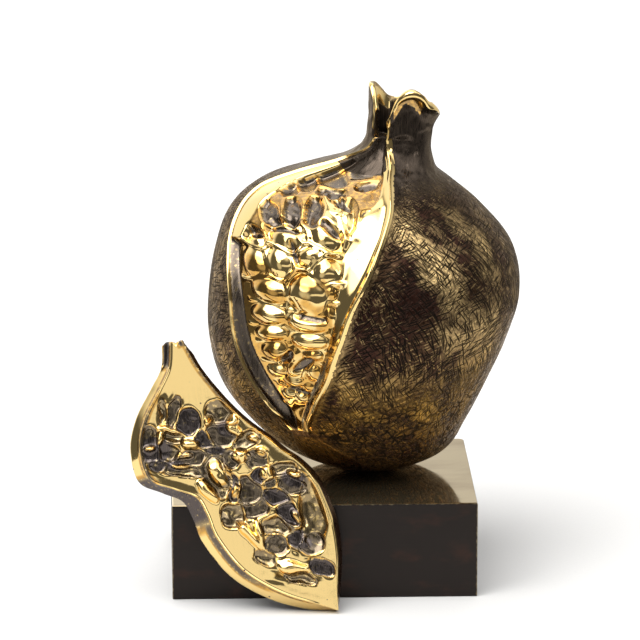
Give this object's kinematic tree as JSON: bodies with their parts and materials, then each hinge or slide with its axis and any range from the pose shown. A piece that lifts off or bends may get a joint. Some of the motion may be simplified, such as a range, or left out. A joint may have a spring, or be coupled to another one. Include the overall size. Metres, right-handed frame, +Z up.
{
  "type": "pomegranate sculpture",
  "caption": "Table sculpture of an opened pomegranate in patinated and polished cast brass, on a rectangular block, with its cut wedge leaning in front.",
  "frame": {"origin": "centre of the block's underside, on the surface that the sculpture stands on", "axes": "+Z up through the block towards the crown, +X to the right seen from the front, -Y out of the front, where the cut and the wedge face"},
  "size_m": [0.1557, 0.1383, 0.1965],
  "materials": {
    "patina_brass": "dark brown patina, crossed with scratches rubbed back to bare metal, with polished cut faces and seeds",
    "polished_brass": "polished, with dark patina left in the seed hollows",
    "block_brass": "dark brown patina on the sides, polished top",
    "steel": "zinc plated",
    "washer_brass": "as stamped"
  },
  "bodies": {
    "root": {"block": "block_brass", "fruit": "patina_brass", "wedge": "polished_brass", "fruit_washer": "washer_brass", "fruit_screw": "steel"}
  },
  "joints": []
}
